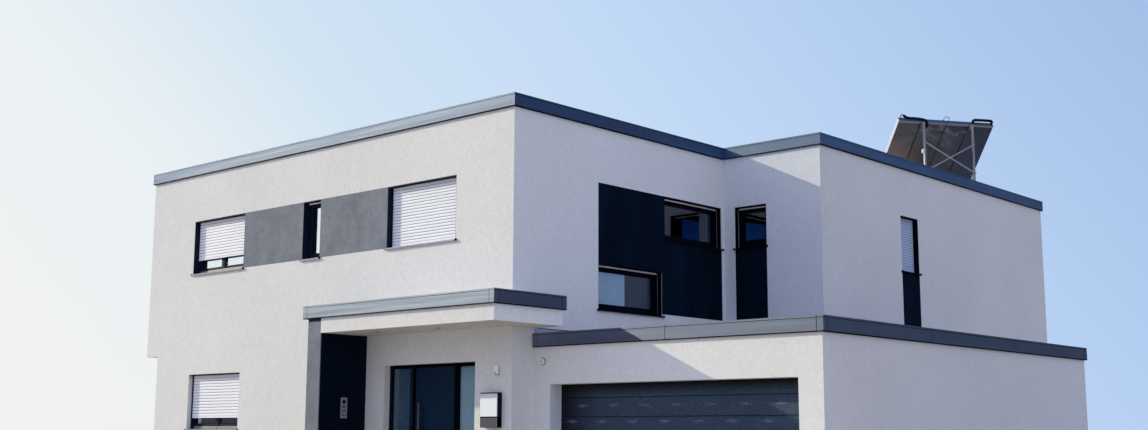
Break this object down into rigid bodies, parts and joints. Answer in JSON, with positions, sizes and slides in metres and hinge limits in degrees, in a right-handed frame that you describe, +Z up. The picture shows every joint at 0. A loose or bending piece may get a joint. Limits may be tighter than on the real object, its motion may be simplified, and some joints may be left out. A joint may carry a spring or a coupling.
{
  "type": "detached house",
  "caption": "Modern flat-roofed two-storey house with rendered walls, metal copings, canopied entrance, attached double garage and roof collectors.",
  "frame": {"origin": "centre of the house's box at ground level", "axes": "+X to the right along the street front, +Y from the street front to the back, +Z up"},
  "size_m": [15.04, 15.47, 8.1189],
  "materials": {
    "white_render": "fine textured render",
    "grey_render": "smooth grey render",
    "dark_render": "anthracite render",
    "concrete": "smooth",
    "roof_gravel": "loose gravel",
    "coping_metal": "satin",
    "door_paint": "satin, embossed",
    "frame_paint": "satin",
    "glass": "clear",
    "shutter_metal": "satin",
    "sill_metal": "satin",
    "steel": "brushed",
    "box_paint": "satin",
    "white_plastic": "matt",
    "collector_sheet": "weathered sheet",
    "collector_aluminium": "extruded",
    "pipe_insulation": "foam sleeve"
  },
  "bodies": {
    "house": {"ground_slab": "concrete", "garage_slab": "concrete", "entrance_step": "concrete", "front_wall_ground_left": "white_render", "front_wall_ground_right": "white_render", "door_lintel": "white_render", "left_wall_ground": "white_render", "back_wall_ground": "white_render", "side_wall_ground": "white_render", "wing_front_wall_ground": "white_render", "wing_side_wall_ground": "white_render", "upper_floor": "concrete", "front_wall_upper": "white_render", "left_wall_upper": "white_render", "back_wall_upper": "white_render", "side_wall_upper": "white_render", "wing_front_wall_upper": "white_render", "wing_side_wall_upper": "white_render", "roof_slab": "concrete", "roof_covering": "roof_gravel", "main_coping": "coping_metal", "garage_front_wall": "white_render", "garage_side_wall": "white_render", "garage_back_wall": "white_render", "garage_roof": "roof_gravel", "garage_coping": "coping_metal", "garage_door": "door_paint", "canopy": "white_render", "canopy_coping": "coping_metal", "wing_wall": "grey_render", "soffit_lights": "sill_metal", "door_frame": "frame_paint", "side_light_glass": "glass", "grey_render": "grey_render", "dark_render": "dark_render", "front_window_frames": "frame_paint", "front_window_glass": "glass", "front_shutters": "shutter_metal", "front_sills": "sill_metal", "side_window_frames": "frame_paint", "side_window_glass": "glass", "side_shutters": "shutter_metal", "side_sills": "frame_paint", "rear_window_frames": "frame_paint", "rear_window_glass": "glass", "rear_shutters": "shutter_metal", "rear_sills": "sill_metal", "letter_box": "box_paint", "door_station": "steel", "wall_sensors": "white_plastic", "collectors": "collector_sheet", "collector_frame": "collector_aluminium", "collector_ballast": "concrete", "collector_pipes": "pipe_insulation", "wall_flashing": "coping_metal"},
    "door_leaf": {"front_door": "frame_paint", "door_handle": "steel"},
    "letter_lid": {"letter_box_door": "steel"}
  },
  "joints": [
    {"name": "front_door_hinge", "type": "hinge", "parent": "house", "child": "door_leaf", "pos_m": [1.185, -6.552, 1.3], "axis": [0, 0, -1], "range_deg": [0, 90]},
    {"name": "letter_box_hinge", "type": "hinge", "parent": "house", "child": "letter_lid", "pos_m": [1.971, -6.855, 1.837], "axis": [0, 0, -1], "range_deg": [0, 105]}
  ]
}
